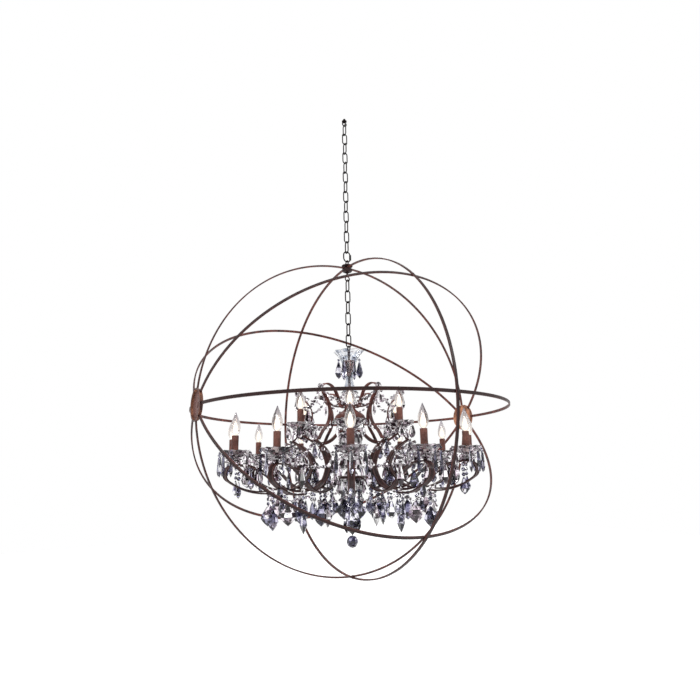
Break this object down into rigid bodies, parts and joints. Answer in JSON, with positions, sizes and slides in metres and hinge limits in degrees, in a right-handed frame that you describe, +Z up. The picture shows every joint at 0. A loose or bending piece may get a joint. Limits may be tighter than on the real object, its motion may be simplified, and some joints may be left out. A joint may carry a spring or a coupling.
{
  "type": "orb chandelier",
  "caption": "Hanging orb chandelier: a sphere of rusted iron straps on a chain, with a crystal candelabra inside that carries candle lights on two tiers.",
  "frame": {"origin": "centre of the top of the threaded nipple in the ceiling", "axes": "+Z up along the hanging axis, X through the two side hubs of the orb, -Y towards the front"},
  "size_m": [1.099, 1.1084, 1.7529],
  "materials": {
    "rusted_iron": "rusted brown, low sheen",
    "sleeve_brown": "matte rust brown",
    "clear_glass": "clear cut glass",
    "smoke_crystal": "cut smoke crystal",
    "bulb_glass": "clear bulb, lit warm"
  },
  "bodies": {
    "mount": {"ceiling_loop": "rusted_iron"},
    "first_link": {"top_link": "rusted_iron"},
    "chain": {"upper_chain": "rusted_iron", "quick_link": "rusted_iron"},
    "orb": {"half_arc_1": "rusted_iron", "half_arc_2": "rusted_iron", "half_arc_3": "rusted_iron", "half_arc_4": "rusted_iron", "half_arc_5": "rusted_iron", "half_arc_6": "rusted_iron", "half_arc_7": "rusted_iron", "half_arc_8": "rusted_iron", "hub_hook": "rusted_iron", "left_hub": "rusted_iron", "meridian_ring": "rusted_iron", "orb_rivets": "rusted_iron", "right_hub": "rusted_iron", "top_hub": "rusted_iron"},
    "candelabra": {"almond_drops": "smoke_crystal", "arm_plates": "rusted_iron", "bell_cup": "rusted_iron", "blade_drops": "smoke_crystal", "bobeches": "smoke_crystal", "candle_cups": "rusted_iron", "candle_sleeves": "sleeve_brown", "centre_rod": "rusted_iron", "ferrule": "rusted_iron", "finial": "rusted_iron", "glass_spools": "smoke_crystal", "glass_trumpet": "clear_glass", "kite_drops": "smoke_crystal", "lower_arms": "rusted_iron", "lower_chain": "rusted_iron", "lower_dish": "smoke_crystal", "lyre_scrolls": "rusted_iron", "rosettes": "smoke_crystal", "smoke_bowl": "smoke_crystal", "spear_drops": "smoke_crystal", "upper_arms": "rusted_iron"},
    "ball": {"ball_drop": "smoke_crystal", "ball_kites": "smoke_crystal"},
    "lamp_01": {"bulb_01": "bulb_glass"},
    "lamp_02": {"bulb_02": "bulb_glass"},
    "lamp_03": {"bulb_03": "bulb_glass"},
    "lamp_04": {"bulb_04": "bulb_glass"},
    "lamp_05": {"bulb_05": "bulb_glass"},
    "lamp_06": {"bulb_06": "bulb_glass"},
    "lamp_07": {"bulb_07": "bulb_glass"},
    "lamp_08": {"bulb_08": "bulb_glass"},
    "lamp_09": {"bulb_09": "bulb_glass"},
    "lamp_10": {"bulb_10": "bulb_glass"},
    "lamp_11": {"bulb_11": "bulb_glass"},
    "lamp_12": {"bulb_12": "bulb_glass"},
    "lamp_13": {"bulb_13": "bulb_glass"},
    "lamp_14": {"bulb_14": "bulb_glass"},
    "lamp_15": {"bulb_15": "bulb_glass"},
    "lamp_16": {"bulb_16": "bulb_glass"},
    "lamp_17": {"bulb_17": "bulb_glass"},
    "lamp_18": {"bulb_18": "bulb_glass"}
  },
  "joints": [
    {"name": "chain_swing_front", "type": "hinge", "parent": "mount", "child": "first_link", "pos_m": [0, 0, -0.03213], "axis": [1, 0, 0], "range_deg": [-20, 20]},
    {"name": "chain_swing_side", "type": "hinge", "parent": "first_link", "child": "chain", "pos_m": [0, 0, -0.07483], "axis": [0, 1, 0], "range_deg": [-20, 20]},
    {"name": "orb_swing", "type": "hinge", "parent": "chain", "child": "orb", "pos_m": [0, 0, -0.62618], "axis": [1, 0, 0], "range_deg": [-15, 15]},
    {"name": "candelabra_swing", "type": "hinge", "parent": "orb", "child": "candelabra", "pos_m": [0, 0, -0.7042], "axis": [1, 0, 0], "range_deg": [-1.5, 1.5]},
    {"name": "ball_swing", "type": "hinge", "parent": "candelabra", "child": "ball", "pos_m": [0, 0, -1.4859], "axis": [1, 0, 0], "range_deg": [-6, 6]},
    {"name": "bulb_turn_01", "type": "hinge", "parent": "candelabra", "child": "lamp_01", "pos_m": [-0.21798, -0.35432, -1.2881], "axis": [0, 0, 1], "continuous": true},
    {"name": "bulb_turn_02", "type": "hinge", "parent": "candelabra", "child": "lamp_02", "pos_m": [-0.01162, -0.41584, -1.2881], "axis": [0, 0, 1], "continuous": true},
    {"name": "bulb_turn_03", "type": "hinge", "parent": "candelabra", "child": "lamp_03", "pos_m": [0.19786, -0.36593, -1.2881], "axis": [0, 0, 1], "continuous": true},
    {"name": "bulb_turn_04", "type": "hinge", "parent": "candelabra", "child": "lamp_04", "pos_m": [0.35432, -0.21798, -1.2881], "axis": [0, 0, 1], "continuous": true},
    {"name": "bulb_turn_05", "type": "hinge", "parent": "candelabra", "child": "lamp_05", "pos_m": [0.41584, -0.01162, -1.2881], "axis": [0, 0, 1], "continuous": true},
    {"name": "bulb_turn_06", "type": "hinge", "parent": "candelabra", "child": "lamp_06", "pos_m": [0.36593, 0.19786, -1.2881], "axis": [0, 0, 1], "continuous": true},
    {"name": "bulb_turn_07", "type": "hinge", "parent": "candelabra", "child": "lamp_07", "pos_m": [0.21798, 0.35432, -1.2881], "axis": [0, 0, 1], "continuous": true},
    {"name": "bulb_turn_08", "type": "hinge", "parent": "candelabra", "child": "lamp_08", "pos_m": [0.01162, 0.41584, -1.2881], "axis": [0, 0, 1], "continuous": true},
    {"name": "bulb_turn_09", "type": "hinge", "parent": "candelabra", "child": "lamp_09", "pos_m": [-0.19786, 0.36593, -1.2881], "axis": [0, 0, 1], "continuous": true},
    {"name": "bulb_turn_10", "type": "hinge", "parent": "candelabra", "child": "lamp_10", "pos_m": [-0.35432, 0.21798, -1.2881], "axis": [0, 0, 1], "continuous": true},
    {"name": "bulb_turn_11", "type": "hinge", "parent": "candelabra", "child": "lamp_11", "pos_m": [-0.41584, 0.01162, -1.2881], "axis": [0, 0, 1], "continuous": true},
    {"name": "bulb_turn_12", "type": "hinge", "parent": "candelabra", "child": "lamp_12", "pos_m": [-0.36593, -0.19786, -1.2881], "axis": [0, 0, 1], "continuous": true},
    {"name": "bulb_turn_13", "type": "hinge", "parent": "candelabra", "child": "lamp_13", "pos_m": [-0.10139, -0.16481, -1.1966], "axis": [0, 0, 1], "continuous": true},
    {"name": "bulb_turn_14", "type": "hinge", "parent": "candelabra", "child": "lamp_14", "pos_m": [0.09203, -0.17021, -1.1966], "axis": [0, 0, 1], "continuous": true},
    {"name": "bulb_turn_15", "type": "hinge", "parent": "candelabra", "child": "lamp_15", "pos_m": [0.19343, -0.0054, -1.1966], "axis": [0, 0, 1], "continuous": true},
    {"name": "bulb_turn_16", "type": "hinge", "parent": "candelabra", "child": "lamp_16", "pos_m": [0.10139, 0.16481, -1.1966], "axis": [0, 0, 1], "continuous": true},
    {"name": "bulb_turn_17", "type": "hinge", "parent": "candelabra", "child": "lamp_17", "pos_m": [-0.09203, 0.17021, -1.1966], "axis": [0, 0, 1], "continuous": true},
    {"name": "bulb_turn_18", "type": "hinge", "parent": "candelabra", "child": "lamp_18", "pos_m": [-0.19343, 0.0054, -1.1966], "axis": [0, 0, 1], "continuous": true}
  ]
}
